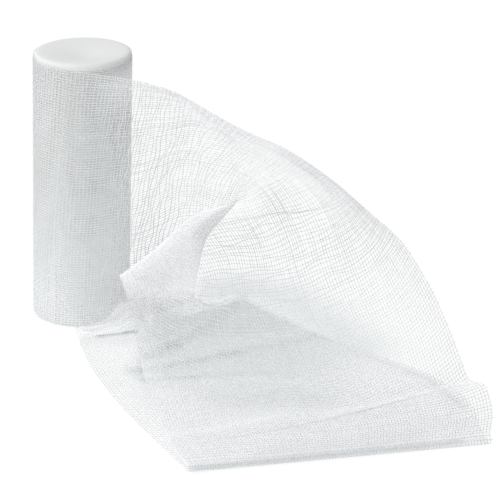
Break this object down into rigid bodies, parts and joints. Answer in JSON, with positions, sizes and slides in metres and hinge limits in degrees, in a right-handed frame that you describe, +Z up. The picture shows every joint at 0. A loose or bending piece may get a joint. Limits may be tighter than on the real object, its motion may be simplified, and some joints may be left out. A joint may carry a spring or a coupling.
{
  "type": "gauze bandage roll",
  "caption": "Roll of open-weave white cotton gauze bandage standing on end, its loose end pulled out, pleated once and folded under on the table.",
  "frame": {"origin": "middle of the flat foot of the wound roll, on the surface that the part rests on", "axes": "+Z up along the roll, +X to the right, towards the side where the loose end leaves the roll, -Y towards the front fold and the viewer"},
  "size_m": [0.1607, 0.152, 0.1],
  "materials": {
    "wound_gauze": "matte cotton, many layers deep",
    "open_gauze": "matte cotton yarn in an open plain weave"
  },
  "bodies": {
    "root": {"roll": "wound_gauze", "loose_end": "open_gauze"}
  },
  "joints": []
}
